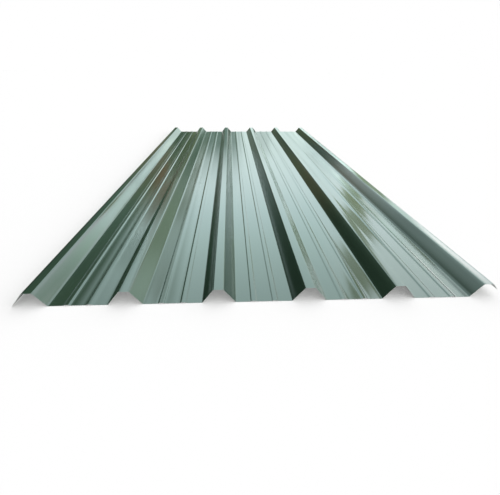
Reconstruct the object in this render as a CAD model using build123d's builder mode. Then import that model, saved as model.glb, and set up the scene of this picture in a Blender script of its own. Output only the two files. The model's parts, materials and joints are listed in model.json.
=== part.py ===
from build123d import *

import os
from math import atan2, sin

os.makedirs("parts", exist_ok=True)

# A roofing sheet, cold rolled in one piece from a flat coated steel strip. X runs
# across the sheet, Y along it and Z up. The pans' undersides lie on Z = 0, and the
# origin is under the middle of the sheet.

# Driving dimensions, in millimetres
sheet_length = 2400.0
cover_width = 1000.0  # from the first rib's axis to the last one's: what one sheet covers
steel_thickness = 0.5
rib_count = 6
rib_depth = 32.0  # from pan to crest, underside to underside
crest_width = 21.0  # between the two corners of a crest
foot_width = 74.0  # between the two corners where a rib leaves its pans
bend_radius = 2.5  # inside each bend of a rib

stiffener_spacing = 47.0  # between the two small stiffeners of a pan
stiffener_width = 14.0
stiffener_top_width = 9.0
stiffener_depth = 1.5
stiffener_radius = 2.5  # inside each bend of a stiffener

# The first rib lies over the last rib of the sheet beside it. Its free leg stops just
# above that sheet's pan. The last rib is the one that goes underneath, and its free
# leg is cut short so that it never lifts the rib over it.
overlap_leg_lift = 1.0  # above the pan
underlap_leg_drop = 14.0  # below the crest

# Worked out from them
rib_pitch = cover_width / (rib_count - 1)
web_run = (foot_width - crest_width) / 2
web_angle = atan2(rib_depth, web_run)
overlap_leg_drop = rib_depth - overlap_leg_lift
cut_edge_reach = steel_thickness * sin(web_angle)  # a leg's cut edge is square to it
overlap_reach = crest_width / 2 + web_run * overlap_leg_drop / rib_depth + cut_edge_reach
underlap_reach = crest_width / 2 + web_run * underlap_leg_drop / rib_depth + cut_edge_reach
overall_width = overlap_reach + cover_width + underlap_reach
first_rib_x = overlap_reach - overall_width / 2


def raised_form(middle_x, base_width, top_width, depth, radius):
    """The four underside corners of a rib or stiffener, each with its inside radius."""
    base, top = base_width / 2, top_width / 2
    return [
        (middle_x - base, 0.0, radius),
        (middle_x - top, depth, radius),
        (middle_x + top, depth, radius),
        (middle_x + base, 0.0, radius),
    ]


def rib(middle_x):
    return raised_form(middle_x, foot_width, crest_width, rib_depth, bend_radius)


def pan(middle_x):
    """A pan's two stiffeners. The flats beside and between them are what joins them up."""
    return [
        corner
        for side in (-1, 1)
        for corner in raised_form(
            middle_x + side * stiffener_spacing / 2,
            stiffener_width,
            stiffener_top_width,
            stiffener_depth,
            stiffener_radius,
        )
    ]


def leg_tip(crest_corner, drop, side):
    """Where a free leg ends, down the web's slope from its crest corner."""
    x, z, radius = crest_corner
    return (x + side * web_run * drop / rib_depth, z - drop, radius)


corners = rib(first_rib_x)
for number in range(1, rib_count):
    rib_x = first_rib_x + number * rib_pitch
    corners += pan(rib_x - rib_pitch / 2) + rib(rib_x)
corners[0] = leg_tip(corners[1], overlap_leg_drop, -1)
corners[-1] = leg_tip(corners[-2], underlap_leg_drop, 1)

# A bend's inside is the strip's underside at a crest and its top side at a pan
underside_radii = [
    radius + (steel_thickness if z == 0 else 0) for x, z, radius in corners[1:-1]
]

with BuildPart() as roofing_sheet:
    with BuildSketch(Plane.XZ):
        with BuildLine():
            FilletPolyline([(x, z) for x, z, radius in corners], radius=underside_radii)
            offset(amount=steel_thickness, side=Side.LEFT)
        make_face()
    extrude(amount=sheet_length / 2, both=True)

roofing_sheet.part.label = "roofing_sheet"
export_step(roofing_sheet.part, "parts/roofing_sheet.step")
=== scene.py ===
import json
import math

import bpy
import numpy as np
from mathutils import Matrix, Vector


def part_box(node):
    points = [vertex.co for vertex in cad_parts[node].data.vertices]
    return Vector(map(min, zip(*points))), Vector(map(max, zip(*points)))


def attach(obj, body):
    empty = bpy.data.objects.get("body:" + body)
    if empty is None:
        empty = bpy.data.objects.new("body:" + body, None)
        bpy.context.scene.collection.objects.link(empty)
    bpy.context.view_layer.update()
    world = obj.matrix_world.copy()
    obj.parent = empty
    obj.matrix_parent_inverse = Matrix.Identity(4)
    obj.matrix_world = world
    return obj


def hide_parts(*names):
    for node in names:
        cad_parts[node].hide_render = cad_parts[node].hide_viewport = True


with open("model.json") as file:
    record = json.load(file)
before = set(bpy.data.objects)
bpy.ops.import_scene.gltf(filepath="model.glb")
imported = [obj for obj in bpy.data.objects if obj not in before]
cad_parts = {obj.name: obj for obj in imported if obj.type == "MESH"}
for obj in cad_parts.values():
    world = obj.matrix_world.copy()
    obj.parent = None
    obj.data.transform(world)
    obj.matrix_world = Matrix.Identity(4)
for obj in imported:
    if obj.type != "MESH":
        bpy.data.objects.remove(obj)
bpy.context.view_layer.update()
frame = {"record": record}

# One roofing sheet on a pale floor. Sizes in the dictionaries are millimetres unless a
# note beside them says otherwise, and mm turns them into the scene's metres.
mm = 0.001


def linear(hexColour):
    # sRGB hex to the linear colour that a shader socket takes
    srgb = np.array([int(hexColour[i : i + 2], 16) for i in (1, 3, 5)]) / 255
    rgb = np.where(srgb <= 0.04045, srgb / 12.92, ((srgb + 0.055) / 1.055) ** 2.4)
    return (*rgb.tolist(), 1.0)


def addNode(tree, kind, inputs, stops=(), **settings):
    # adds a node, sets what it is, then fills its inputs with values or links. stops are
    # a colour ramp's, given as places with hex colours or plain levels
    node = tree.nodes.new(kind)
    for name, value in settings.items():
        setattr(node, name, value)
    for name, value in inputs.items():
        if isinstance(value, bpy.types.NodeSocket):
            tree.links.new(value, node.inputs[name])
        else:
            node.inputs[name].default_value = value
    for number, (place, colour) in enumerate(dict(stops).items()):
        elements = node.color_ramp.elements
        if number == 0:
            elements.remove(elements[1])
        stop = elements.new(place) if number else elements[0]
        stop.position = place
        stop.color = linear(colour) if isinstance(colour, str) else (colour, colour, colour, 1.0)
    return node


def newMaterial(name):
    # a material with an empty node tree
    material = bpy.data.materials.new(name)
    material.use_nodes = True
    material.node_tree.nodes.clear()
    return material, material.node_tree


def surfaceFromGrid(name, points, faces, materials):
    # an object at the origin with these points, and faces as rows of four point numbers
    mesh = bpy.data.meshes.new(name)
    mesh.from_pydata(points.reshape(-1, 3), [], faces.reshape(-1, 4))
    for material in materials:
        mesh.materials.append(material)
    piece = bpy.data.objects.new(name, mesh)
    bpy.context.scene.collection.objects.link(piece)
    return piece


# where the ribs, pans and ends lie, read from the frame
mounts = {mount["name"]: np.array(mount["pos_m"]) / mm for mount in frame["record"]["mounts"]}
frontCorner, backCorner = (np.array(corner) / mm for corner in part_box("roofing_sheet"))

sheet = dict(
    ribCount=6,
    crestWidth=21.0,
    footWidth=74.0,
    bendRadius=2.5,
    stiffenerSpacing=47.0,
    stiffenerWidth=14.0,
    stiffenerTopWidth=9.0,
    stiffenerDepth=1.5,
    stiffenerRadius=4.6,  # a little softer than drawn, as the coat rounds these shallow bends
    overlapLegLift=1.0,
    underlapLegDrop=14.0,
    footDrift=(0.0, 0.0, 1.6, -1.4, 0.0, 0.0),  # how far a rib's left foot wandered in the rolls
    runStep=7.0,  # between columns on a flat
    bendSteps=5,
    rowStep=32.0,  # between rows along the sheet
    panBow=0.4,  # how far a pan's middle stands up once the rolls have let it go
    panRipple=0.12,
    panSwing=0.2,  # share of the bow by which its waves swell and shrink it
    waveLengths=(1900.0, 820.0, 410.0),
    waveLean=0.3,  # share of a random half turn by which a wave leads at a pan's edge
    crestDip=0.1,
    crestWave=700.0,
    seed=11,
    sharpBend=50.0,  # degrees between two faces that show a sharp edge
)
thickness = mounts["washer_seat"][2]
ribDepth = mounts["crest_seat"][2] - thickness
firstRib, lastRib = mounts["overlap_rib"][0], mounts["underlap_rib"][0]
ribAxes = np.linspace(firstRib, lastRib, sheet["ribCount"])
panAxes = (ribAxes[1:] + ribAxes[:-1]) / 2


def raisedForms(middles, base, top, depth, radius):
    # four underside corners for each rib or stiffener, as rows of x, z and bend radius
    x = middles[:, None] + np.array([-base, -top, top, base]) / 2
    z = np.broadcast_to([0, depth, depth, 0], x.shape)
    inside = np.where(z == 0, radius + thickness, radius)
    return np.stack([x, z, inside], -1).reshape(-1, 3)


def sectionCorners():
    # the underside corners of every rib and stiffener from left to right, with the first
    # and last corner moved to where the free legs are cut
    half = sheet["stiffenerSpacing"] / 2
    ribs = raisedForms(
        ribAxes, sheet["footWidth"], sheet["crestWidth"], ribDepth, sheet["bendRadius"]
    )
    drift = np.outer(sheet["footDrift"], [1, 0, 0, 0])
    ribs[:, 0] += drift.ravel()
    stiffeners = raisedForms(
        (panAxes[:, None] + [-half, half]).ravel(),
        sheet["stiffenerWidth"],
        sheet["stiffenerTopWidth"],
        sheet["stiffenerDepth"],
        sheet["stiffenerRadius"],
    )
    corners = np.concatenate([ribs, stiffeners])
    corners = corners[np.argsort(corners[:, 0])]
    # the two free legs end part of the way down their webs
    web = corners[0] - corners[1]
    corners[0] = corners[1] + web * (ribDepth - sheet["overlapLegLift"]) / ribDepth
    web = corners[-1] - corners[-2]
    corners[-1] = corners[-2] + web * sheet["underlapLegDrop"] / ribDepth
    return corners


def bentLine(corners):
    # straight runs joined by arcs that touch them: x, z and heading at each column
    points, radii = corners[:, :2], corners[1:-1, 2]
    runs = np.diff(points, axis=0)
    lengths = np.hypot(*runs.T)
    along = runs / lengths[:, None]
    headings = np.arctan2(runs[:, 1], runs[:, 0])
    turns = np.diff(headings)
    cuts = np.concatenate([[0], radii * np.tan(abs(turns) / 2), [0]])
    columns = []
    for run, heading in enumerate(headings):
        start, end = cuts[run], lengths[run] - cuts[run + 1]
        count = max(2, math.ceil((end - start) / sheet["runStep"]) + 1)
        place = points[run] + along[run] * np.linspace(start, end, count)[:, None]
        columns.append(np.column_stack([place, np.full(count, heading)]))
        if run < len(turns):
            # a point on the arc is the run's end plus the radius times how far the heading turned
            side = math.copysign(radii[run], turns[run])
            angle = heading + turns[run] * np.arange(1, sheet["bendSteps"]) / sheet["bendSteps"]
            dx = side * (np.sin(angle) - math.sin(heading))
            dz = side * (math.cos(heading) - np.cos(angle))
            columns.append(np.column_stack([place[-1] + np.stack([dx, dz], 1), angle]))
    return np.concatenate(columns).T


def settle(x, y):
    # the small rises and falls left in the flats: a pan bows up between its ribs and
    # ripples along its length, a crest dips. Waves of seeded phase, faded to nothing
    # at each rib's foot, so the sheet stays inside its drawn box.
    rng = np.random.default_rng(sheet["seed"])
    pan = np.argmin(abs(x[:, None] - panAxes), axis=1)
    rib = np.argmin(abs(x[:, None] - ribAxes), axis=1)
    panReach = (ribAxes[1] - ribAxes[0] - sheet["footWidth"]) / 2
    across = (x - panAxes[pan]) / panReach
    window = np.clip(1 - across**2, 0, 1) ** 2
    slow = np.zeros((len(x), len(y)))
    for waveLength in sheet["waveLengths"]:
        phase = rng.uniform(0, 2 * np.pi, (len(panAxes), 2))[pan]
        lean = (sheet["waveLean"] * (phase[:, 1] - np.pi) * across)[:, None]
        wave = np.sin(2 * np.pi * y / waveLength + phase[:, :1] + lean)
        slow += wave / len(sheet["waveLengths"])
    bow = sheet["panBow"] * (1 + sheet["panSwing"] * slow)
    rise = window[:, None] * (bow + sheet["panRipple"] * (1 + slow))
    half = sheet["crestWidth"] / 2 - sheet["bendRadius"] / 2
    onCrest = np.clip(1 - ((x - ribAxes[rib]) / half) ** 2, 0, 1)
    phase = rng.uniform(0, 2 * np.pi, len(ribAxes))[rib]
    wave = np.sin(2 * np.pi * y / sheet["crestWave"] + phase[:, None])
    dip = onCrest[:, None] * (1 + wave) / 2
    return rise - sheet["crestDip"] * dip


def rolledSheet(materials):
    # the section carried along Y: underside points, top points a thickness off them
    # along the section's normal, both shifted up by settle()
    x, z, heading = bentLine(sectionCorners())
    front, back = frontCorner[1], backCorner[1]
    y = np.linspace(front, back, round((back - front) / sheet["rowStep"]) + 1)
    topX, topZ = x - thickness * np.sin(heading), z + thickness * np.cos(heading)
    lift = settle(x, y)
    grid = np.empty((2, len(y), len(x), 3))
    grid[0, ..., 0], grid[1, ..., 0] = x, topX
    grid[..., 1] = y[:, None]
    grid[0, ..., 2], grid[1, ..., 2] = z + lift.T, topZ + lift.T
    index = np.arange(grid[..., 0].size).reshape(grid.shape[:3])
    under, top = index

    def quads(a, b):
        # faces between two neighbouring lines of vertex numbers
        return np.stack([a[:-1], a[1:], b[1:], b[:-1]], -1)

    topFaces = quads(top[:-1].T, top[1:].T).reshape(-1, 4)
    underFaces = quads(under[1:].T, under[:-1].T).reshape(-1, 4)
    edges = [
        quads(under[0], top[0]),  # front and back, square across
        quads(top[-1], under[-1]),
        quads(top[:, 0], under[:, 0]),  # the strip's two long edges
        quads(under[:, -1], top[:, -1]),
    ]
    cutFaces = np.concatenate(edges)
    faces = np.concatenate([topFaces, underFaces, cutFaces])
    piece = surfaceFromGrid("coated_steel_sheet", grid * mm, faces, materials)
    finish = np.repeat([0, 1, 2], [len(topFaces), len(underFaces), len(cutFaces)])
    piece.data.polygons.foreach_set("material_index", finish.astype(np.int32))
    piece.data.shade_smooth()
    piece.data.set_sharp_from_angle(angle=math.radians(sheet["sharpBend"]))
    return piece


def cloudPattern(tree, size, low=0.0, high=1.0, spread=(0.3, 0.7), detail=2.0):
    # cloudy noise whose middle spread is taken to the range from low to high. size is the
    # width of one cloud in millimetres, either a number or three of them along X, Y and Z
    place = addNode(tree, "ShaderNodeTexCoord", {}).outputs["Object"]
    scale = 1 / (np.broadcast_to(size, 3) * mm)
    stretched = addNode(tree, "ShaderNodeMapping", {"Vector": place, "Scale": scale.tolist()})
    cloud = addNode(
        tree, "ShaderNodeTexNoise", {"Vector": stretched.outputs[0], "Scale": 1.0, "Detail": detail}
    )
    span = {"From Min": spread[0], "From Max": spread[1], "To Min": low, "To Max": high}
    return addNode(tree, "ShaderNodeMapRange", {"Value": cloud.outputs[0], **span}).outputs[0]


topCoat = dict(
    thinPaint="#213328",  # fir green, a shade apart where the film is thicker
    thickPaint="#26382B",
    paintCloud=160.0,
    roughness=(0.08, 0.13),
    hazeCloud=(26.0, 520.0, 26.0),  # drawn out along the rolling direction
    peelSize=9.0,  # real orange peel is 1 to 3 mm across, too fine to show here
    peelDepth=0.0005,
    dragSize=(3.0, 420.0, 3.0),
    dragDepth=0.0006,
    ior=1.6,
)


def polyesterTopCoat():
    # Coil-coated steel: polyester enamel rolled on the strip and oven cured, then bent
    # cold. Glossy and nearly flat, with faint orange peel, a haze that runs along the
    # sheet where the forming rolls pressed it, and fine drag lines beside the haze
    material, tree = newMaterial("polyesterTopCoat")
    paint = addNode(
        tree,
        "ShaderNodeMixRGB",
        {
            "Fac": cloudPattern(tree, topCoat["paintCloud"]),
            "Color1": linear(topCoat["thinPaint"]),
            "Color2": linear(topCoat["thickPaint"]),
        },
    )
    peel = addNode(
        tree,
        "ShaderNodeBump",
        {
            "Height": cloudPattern(tree, topCoat["peelSize"], spread=(0.0, 1.0)),
            "Distance": topCoat["peelDepth"] * mm,
        },
    )
    drag = addNode(
        tree,
        "ShaderNodeBump",
        {
            "Height": cloudPattern(tree, topCoat["dragSize"], spread=(0.0, 1.0)),
            "Distance": topCoat["dragDepth"] * mm,
            "Normal": peel.outputs[0],
        },
    )
    shader = addNode(
        tree,
        "ShaderNodeBsdfPrincipled",
        {
            "Base Color": paint.outputs[0],
            "Roughness": cloudPattern(
                tree, topCoat["hazeCloud"], *topCoat["roughness"], detail=4.0
            ),
            "IOR": topCoat["ior"],
            "Normal": drag.outputs[0],
        },
    )
    addNode(tree, "ShaderNodeOutputMaterial", {"Surface": shader.outputs[0]})
    return material


backing = dict(
    primer="#A3A8A2",
    paleStreak="#B2B6B0",
    streakSize=(45.0, 900.0, 45.0),
    scuff="#8C928D",
    scuffSize=(1.6, 260.0, 1.6),
    scuffCover=0.35,
    roughness=(0.38, 0.52),
    grainSize=5.0,  # real grain is under 1 mm, too fine to show here
    grainDepth=0.004,
)


def epoxyBackingCoat():
    # The underside's thin epoxy primer, rolled on and baked: a light grey satin with
    # long pale streaks from the coating roll and rubbed lines where sheets slid in a pile
    material, tree = newMaterial("epoxyBackingCoat")
    primer = addNode(
        tree,
        "ShaderNodeMixRGB",
        {
            "Fac": cloudPattern(tree, backing["streakSize"], detail=4.0),
            "Color1": linear(backing["primer"]),
            "Color2": linear(backing["paleStreak"]),
        },
    )
    scuffed = addNode(
        tree,
        "ShaderNodeMixRGB",
        {
            "Fac": cloudPattern(
                tree, backing["scuffSize"], high=backing["scuffCover"], spread=(0.6, 0.75)
            ),
            "Color1": primer.outputs[0],
            "Color2": linear(backing["scuff"]),
        },
    )
    grain = addNode(
        tree,
        "ShaderNodeBump",
        {
            "Height": cloudPattern(tree, backing["grainSize"], spread=(0.0, 1.0), detail=3.0),
            "Distance": backing["grainDepth"] * mm,
        },
    )
    shader = addNode(
        tree,
        "ShaderNodeBsdfPrincipled",
        {
            "Base Color": scuffed.outputs[0],
            "Roughness": cloudPattern(
                tree, backing["streakSize"], *backing["roughness"], detail=4.0
            ),
            "Normal": grain.outputs[0],
        },
    )
    addNode(tree, "ShaderNodeOutputMaterial", {"Surface": shader.outputs[0]})
    return material


cutEdge = dict(
    torn="#8E928F",
    burnished="#B4B8B4",
    tearSize=(4.0, 4.0, 0.25),  # the torn part's grain, flat along the edge
    roughness=(0.55, 0.3),  # torn and burnished
)


def shearedSteel():
    # Bare steel where the strip was slit and the sheet sheared to length: bright where
    # the blade burnished it, dull and grainy where it tore
    material, tree = newMaterial("shearedSteel")
    steel = addNode(
        tree,
        "ShaderNodeMixRGB",
        {
            "Fac": cloudPattern(tree, cutEdge["tearSize"], detail=3.0),
            "Color1": linear(cutEdge["torn"]),
            "Color2": linear(cutEdge["burnished"]),
        },
    )
    shader = addNode(
        tree,
        "ShaderNodeBsdfPrincipled",
        {
            "Base Color": steel.outputs[0],
            "Metallic": 1.0,
            "Roughness": cloudPattern(tree, cutEdge["tearSize"], *cutEdge["roughness"], detail=3.0),
        },
    )
    addNode(tree, "ShaderNodeOutputMaterial", {"Surface": shader.outputs[0]})
    return material


steelSheet = rolledSheet([polyesterTopCoat(), epoxyBackingCoat(), shearedSteel()])
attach(steelSheet, "root")
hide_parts("roofing_sheet")
print("sheet rolled:", len(steelSheet.data.polygons), "faces")

# the studio: floor, light, and what the gloss mirrors
studio = dict(
    floorReach=60000.0,
    floorDrop=0.2,
    floorColour="#E6E6E6",
    lightLean=0.9,  # how much brighter the light is from the right than from the left
)


def directlySeen(tree):
    # 1 for a ray from the camera, off a mirror or through glass, and 0 for any other
    path = addNode(tree, "ShaderNodeLightPath", {}).outputs
    seen = path["Is Camera Ray"]
    for ray in ("Is Glossy Ray", "Is Transmission Ray"):
        either = addNode(tree, "ShaderNodeMath", {0: seen, 1: path[ray]}, operation="ADD")
        seen = either.outputs[0]
    return seen


def paleFloor():
    # a square on the grid (u, v) from -1 to 1 each way. It takes light as pale paint, and
    # glows just enough to look white itself
    u, v = np.meshgrid([-1.0, 1.0], [-1.0, 1.0])
    reach = studio["floorReach"]
    points = np.stack([u * reach, v * reach, np.full_like(u, -studio["floorDrop"])], -1)
    material, tree = newMaterial("paleFloor")
    colour = linear(studio["floorColour"])
    painted = addNode(tree, "ShaderNodeBsdfDiffuse", {"Color": colour})
    glow = addNode(
        tree,
        "ShaderNodeEmission",
        {"Color": (*[1 - c for c in colour[:3]], 1.0), "Strength": directlySeen(tree)},
    )
    both = addNode(tree, "ShaderNodeAddShader", {0: painted.outputs[0], 1: glow.outputs[0]})
    addNode(tree, "ShaderNodeOutputMaterial", {"Surface": both.outputs[0]})
    floor = surfaceFromGrid("floor", points * mm, np.array([0, 1, 3, 2]), [material])


def softLight():
    # white all round, and for the light that lands on surfaces it leans to the right
    world = bpy.data.worlds.new("softLight")
    bpy.context.scene.world = world
    world.use_nodes = True
    tree = world.node_tree
    tree.nodes.clear()
    white = (1.0, 1.0, 1.0, 1.0)
    direction = addNode(tree, "ShaderNodeTexCoord", {}).outputs["Object"]
    lean = addNode(tree, "ShaderNodeSeparateXYZ", {"Vector": direction})
    level = addNode(
        tree,
        "ShaderNodeMath",
        {0: lean.outputs["X"], 1: studio["lightLean"], 2: 1.0},
        operation="MULTIPLY_ADD",
    )
    leaning = addNode(tree, "ShaderNodeBackground", {"Color": white, "Strength": level.outputs[0]})
    even = addNode(tree, "ShaderNodeBackground", {"Color": white, "Strength": 1.0})
    mix = addNode(
        tree, "ShaderNodeMixShader", {0: directlySeen(tree), 1: leaning.outputs[0], 2: even.outputs[0]}
    )
    addNode(tree, "ShaderNodeOutputWorld", {"Surface": mix.outputs[0]})


# Reflections for the gloss, seen by nothing else. A card's corners are in metres: lower
# left, lower right, upper right, upper left. Along and up are shares of its length and
# height: along gives its colour, up how much it covers, glow how bright it is, and edge
# the share of each end that is soft.
cards = dict(
    leftWall=dict(
        corners=[(-1.65, -6, 0), (-1.65, 14, 0), (-1.65, 14, 0.46), (-1.65, -6, 0.46)],
        along={
            0.36: "#27352C",
            0.41: "#3F5548",
            0.47: "#61796E",
            0.54: "#819993",
            0.63: "#9BAFAA",
            0.75: "#849789",
        },
        up={0.0: 1.0},
    ),
    leftBand=dict(
        corners=[(-1.65, -6, 0.46), (-1.65, 14, 0.46), (-1.65, 14, 0.8), (-1.65, -6, 0.8)],
        along={
            0.36: "#3A4540",
            0.41: "#456350",
            0.47: "#576D5B",
            0.54: "#707C76",
            0.63: "#7A8C82",
            0.75: "#617A68",
        },
        up={0.0: 1.0},
    ),
    leftShade=dict(
        corners=[(-1.65, -6, 0.8), (-1.65, 14, 0.8), (-1.65, 14, 1.08), (-1.65, -6, 1.08)],
        along={0.37: "#3F5546", 0.47: "#425642", 0.55: "#797659", 0.64: "#7C8969", 0.77: "#6D7C69"},
        up={0.0: 1.0},
    ),
    leftTrees=dict(
        corners=[(-1.65, -6, 1.08), (-1.65, 14, 1.08), (-1.65, 14, 2.6), (-1.65, -6, 2.6)],
        along={
            0.35: "#6B8A72",
            0.46: "#7A9C87",
            0.54: "#889672",
            0.6: "#9C7C58",
            0.65: "#987A58",
            0.7: "#64785E",
            0.77: "#586E5C",
        },
        up={0.37: 1.0, 0.43: 0.95, 0.475: 0.6, 0.52: 0.42, 0.64: 0.36, 1.0: 0.0},
    ),
    rightBank=dict(
        corners=[(3, 24, 0), (3, 2, 0), (3, 2, 1.7), (3, 24, 1.7)],
        along={
            0.3: "#43574A",
            0.48: "#4A5E50",
            0.64: "#75897B",
            0.75: "#89A089",
            0.84: "#9AB29A",
            0.92: "#D4F3E1",
        },
        up={0.6: 1.0, 1.0: 0.0},
        glow=2.4,
    ),
    rightBush=dict(
        corners=[(2.3, 5.2, 1.0), (2.3, 2.9, 1.0), (2.3, 2.9, 1.56), (2.3, 5.2, 1.54)],
        along={0.0: "#BCD49C"},
        up={0.0: 0.9, 0.88: 0.9, 1.0: 0.0},
        edge=0.3,
    ),
    rightStrip=dict(
        corners=[(4, 24, 2.62), (4, 2.6, 2.62), (4, 2.6, 2.95), (4, 24, 2.95)],
        along={
            0.14: "#B9CAC2",
            0.39: "#CAE2E0",
            0.56: "#D6F2EE",
            0.69: "#DCFBF6",
            0.8: "#BCE0CE",
            0.88: "#98B6A6",
        },
        up={0.0: 1.0},
        glow=4.3,
        edge=0.06,
    ),
    rightLamp=dict(
        corners=[(3, 4.0, 1.7), (3, 1.0, 1.7), (3, 1.0, 2.0), (3, 4.0, 2.0)],
        along={0.0: "#FCFFFF"},
        up={0.0: 0.95},
        glow=6.6,
        edge=0.4,
    ),
    hedge=dict(
        corners=[(-3.2, 20, 0), (0.95, 20, 0), (0.95, 20, 6.4), (-3.2, 20, 6.4)],
        along={0.0: "#6C8476", 0.5: "#86A498"},
        up={0.55: 1.0, 0.62: 0.8, 0.69: 0.5, 0.76: 0.3, 0.9: 0.08, 1.0: 0.0},
        edge=0.28,
    ),
    thicket=dict(
        corners=[(-4.6, 19.8, 0), (-1.55, 19.8, 0), (-2.0, 19.8, 5.9), (-4.6, 19.8, 5.9)],
        along={0.0: "#44563C"},
        up={0.78: 1.0, 1.0: 0.0},
        edge=0.15,
    ),
    farBush=dict(
        corners=[(3.5, 19.7, 2.4), (6.6, 19.7, 3.7), (7.3, 19.7, 5.9), (4.6, 19.7, 4.6)],
        along={0.0: "#7A8C78"},
        up={0.0: 0.0, 0.3: 0.5, 0.7: 0.4, 1.0: 0.0},
        edge=0.3,
    ),
    farHedge=dict(
        corners=[(4.7, 19.62, 2.5), (6.8, 19.62, 4.35), (6.0, 19.62, 5.25), (3.9, 19.62, 3.4)],
        along={0.0: "#909A94"},
        up={0.0: 0.9, 0.42: 0.88, 0.75: 0.38, 1.0: 0.0},
        edge=0.2,
    ),
    lowBush=dict(
        corners=[(1.1, 19.6, 2.2), (2.5, 19.6, 2.2), (2.3, 19.6, 4.5), (1.2, 19.6, 4.5)],
        along={0.0: "#8EA098"},
        up={0.0: 0.4, 0.5: 0.38, 1.0: 0.0},
        edge=0.3,
    ),
    leftHedge=dict(
        corners=[(-1.6, 4.4, 1.08), (-1.6, 8.6, 1.08), (-1.6, 8.6, 1.62), (-1.6, 4.4, 1.62)],
        along={0.1: "#7E8E76", 0.5: "#94A48C", 0.9: "#8C9C88"},
        up={0.0: 0.9, 0.45: 0.8, 1.0: 0.0},
        edge=0.2,
    ),
    leftLeaves=dict(
        corners=[(-1.6, 7.4, 1.8), (-1.6, 15, 1.8), (-1.6, 15, 2.4), (-1.6, 7.4, 2.4)],
        along={0.0: "#4E6048"},
        up={0.0: 0.0, 0.3: 0.5, 0.75: 0.45, 1.0: 0.0},
        edge=0.25,
    ),
    leftTwigs=dict(
        corners=[(-1.6, 2.5, 1.8), (-1.6, 4.0, 1.8), (-1.6, 4.0, 2.4), (-1.6, 2.5, 2.4)],
        along={0.0: "#76907E"},
        up={0.0: 0.0, 0.3: 0.32, 0.75: 0.3, 1.0: 0.0},
        edge=0.3,
    ),
    ground=dict(
        corners=[(-0.6, 1.23, 0.001), (0.6, 1.23, 0.001), (0.6, 3, 0.001), (-0.6, 3, 0.001)],
        along={0.0: "#5E7466"},
        up={0.0: 1.0},
        edge=0.1,
    ),
    trunk=dict(
        corners=[(-4.5, 19.3, 0), (-3.3, 19.3, 0), (-3.7, 19.3, 7.4), (-4.9, 19.3, 7.4)],
        along={0.0: "#B3A084"},
        up={0.75: 0.95, 1.0: 0.0},
        edge=0.2,
    ),
    tree=dict(
        corners=[(-4.7, 19.5, 0), (-0.5, 19.5, 0), (-4.0, 19.5, 16.0), (-6.9, 19.5, 16.0)],
        along={0.2: "#A48C66", 0.55: "#8A9C72"},
        up={0.28: 0.85, 0.38: 0.8, 0.47: 0.78, 0.53: 0.5, 0.64: 0.45, 0.85: 0.5, 1.0: 0.0},
        edge=0.3,
    ),
    farHaze=dict(
        corners=[(-4.1, 19.2, 3.0), (-3.2, 19.2, 3.0), (-4.5, 19.2, 5.2), (-5.5, 19.2, 5.2)],
        along={0.0: "#95D7E2"},
        up={0.0: 0.0, 0.2: 0.6, 0.8: 0.6, 1.0: 0.0},
        edge=0.25,
    ),
    leaningTree=dict(
        corners=[(6.3, 19.5, 4.4), (7.7, 19.5, 4.4), (10.85, 19.5, 15.5), (8.4, 19.5, 15.5)],
        along={0.0: "#CCE2A8"},
        up={0.0: 0.0, 0.1: 0.97, 0.2: 0.95, 0.3: 0.87, 0.6: 0.8, 0.8: 0.9, 0.95: 0.85, 1.0: 0.0},
        edge=0.15,
    ),
)
# The tent: its colours by height, and across from left to right, as shares of its reach
tent = dict(
    reach=45.0,  # metres
    bearings=48,  # faces all the way round
    heights=12,  # faces from floor to zenith
    glow=3.8,
    across={0.62: "#E9F3F2", 0.7: "#FFFFFF"},
    up={
        0.1: "#AAB4B0",
        0.18: "#BAC3C1",
        0.232: "#CFD9D9",
        0.29: "#DCE8E9",
        0.36: "#DFF1F2",
        0.44: "#E4F9F7",
    },
)


def glossOnly(thing):
    # leaves a thing to be seen by mirrored rays alone
    thing.visible_camera = thing.visible_diffuse = thing.visible_shadow = False
    thing.visible_transmission = thing.visible_volume_scatter = False
    thing.data.materials[0].cycles.emission_sampling = "NONE"


def glossCard(name, corners, along, up, glow=1.0, edge=0.001):
    # a flat patch blended between its four corners, with u along it and v up it
    u, v = np.meshgrid([0.0, 1.0], [0.0, 1.0])
    weights = np.stack([(1 - u) * (1 - v), u * (1 - v), u * v, (1 - u) * v], -1)
    points = weights @ np.array(corners, float)
    material, tree = newMaterial(name)
    uv = addNode(tree, "ShaderNodeUVMap", {}, uv_map="card")
    place = addNode(tree, "ShaderNodeSeparateXYZ", {"Vector": uv.outputs[0]}).outputs
    back = addNode(tree, "ShaderNodeMath", {0: 1.0, 1: place["X"]}, operation="SUBTRACT")
    near = addNode(tree, "ShaderNodeMath", {0: place["X"], 1: back.outputs[0]}, operation="MINIMUM")
    soft = addNode(
        tree,
        "ShaderNodeMapRange",
        {"Value": near.outputs[0], "From Max": edge},
        interpolation_type="SMOOTHSTEP",
    )
    height = addNode(tree, "ShaderNodeValToRGB", {"Fac": place["Y"]}, stops=up)
    cover = addNode(
        tree, "ShaderNodeMath", {0: soft.outputs[0], 1: height.outputs[0]}, operation="MULTIPLY"
    )
    colour = addNode(tree, "ShaderNodeValToRGB", {"Fac": place["X"]}, stops=along)
    dim = addNode(tree, "ShaderNodeEmission", {"Color": colour.outputs[0], "Strength": glow})
    clear = addNode(tree, "ShaderNodeBsdfTransparent", {})
    mix = addNode(
        tree, "ShaderNodeMixShader", {0: cover.outputs[0], 1: clear.outputs[0], 2: dim.outputs[0]}
    )
    addNode(tree, "ShaderNodeOutputMaterial", {"Surface": mix.outputs[0]})
    card = surfaceFromGrid(name, points, np.array([0, 1, 3, 2]), [material])
    layer = card.data.uv_layers.new(name="card")
    layer.data.foreach_set("uv", np.array([0, 0, 1, 0, 1, 1, 0, 1], float))
    glossOnly(card)


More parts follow.
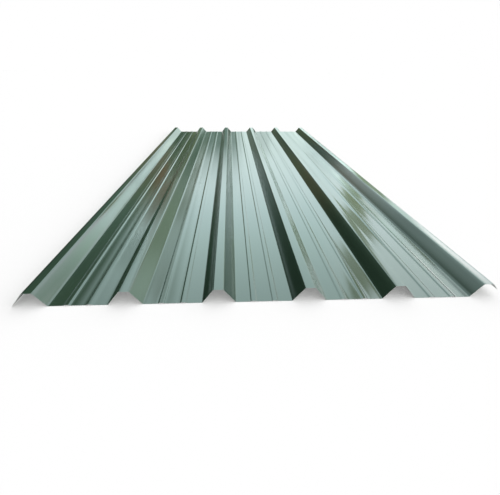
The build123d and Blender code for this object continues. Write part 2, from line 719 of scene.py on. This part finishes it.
def lightTent():
    # half a sphere round the floor: bearing u all the way round, height v up to the zenith
    bearings = np.linspace(0, 2 * np.pi, tent["bearings"] + 1)
    u, v = np.meshgrid(bearings, np.linspace(0, np.pi / 2, tent["heights"] + 1))
    points = np.stack([np.cos(u) * np.cos(v), np.sin(u) * np.cos(v), np.sin(v)], -1)
    points *= tent["reach"]
    index = np.arange(u.size).reshape(u.shape)
    faces = np.stack([index[:-1, :-1], index[:-1, 1:], index[1:, 1:], index[1:, :-1]], -1)
    material, tree = newMaterial("lightTent")
    point = addNode(tree, "ShaderNodeTexCoord", {}).outputs["Object"]
    place = addNode(tree, "ShaderNodeSeparateXYZ", {"Vector": point}).outputs
    rise = addNode(tree, "ShaderNodeMath", {0: place["Z"], 1: tent["reach"]}, operation="DIVIDE")
    across = addNode(
        tree,
        "ShaderNodeMath",
        {0: place["X"], 1: 0.5 / tent["reach"], 2: 0.5},
        operation="MULTIPLY_ADD",
    )
    byHeight = addNode(tree, "ShaderNodeValToRGB", {"Fac": rise.outputs[0]}, stops=tent["up"])
    bySide = addNode(tree, "ShaderNodeValToRGB", {"Fac": across.outputs[0]}, stops=tent["across"])
    colour = addNode(
        tree,
        "ShaderNodeVectorMath",
        {0: byHeight.outputs[0], 1: bySide.outputs[0]},
        operation="MULTIPLY",
    )
    light = addNode(
        tree, "ShaderNodeEmission", {"Color": colour.outputs[0], "Strength": tent["glow"]}
    )
    addNode(tree, "ShaderNodeOutputMaterial", {"Surface": light.outputs[0]})
    glossOnly(surfaceFromGrid("light_tent", points, faces, [material]))


paleFloor()
softLight()
lightTent()
for name, card in cards.items():
    glossCard(name, **card)
print("studio lit")

view = dict(
    eye=(-62.2, -1856.4, 455.8),
    pitch=26.21,  # degrees down from level
    yaw=-3.16,
    roll=0.52,
    lens=26.06,
    sensorWidth=36.0,
)
camera = bpy.data.objects.new("camera", bpy.data.cameras.new("camera"))
bpy.context.scene.collection.objects.link(camera)
camera.data.sensor_width = view["sensorWidth"]
camera.data.lens = view["lens"]
camera.matrix_world = (
    Matrix.Translation([place * mm for place in view["eye"]])
    @ Matrix.Rotation(math.radians(view["yaw"]), 4, "Z")
    @ Matrix.Rotation(math.radians(90 - view["pitch"]), 4, "X")
    @ Matrix.Rotation(math.radians(view["roll"]), 4, "Z")
)
bpy.context.scene.camera = camera
print("camera placed")
bpy.context.scene.view_settings.view_transform = "Standard"
# gloss that mirrors gloss makes the denoiser's guide passes grainy, so it works from colour
bpy.context.scene.cycles.denoising_input_passes = "RGB"
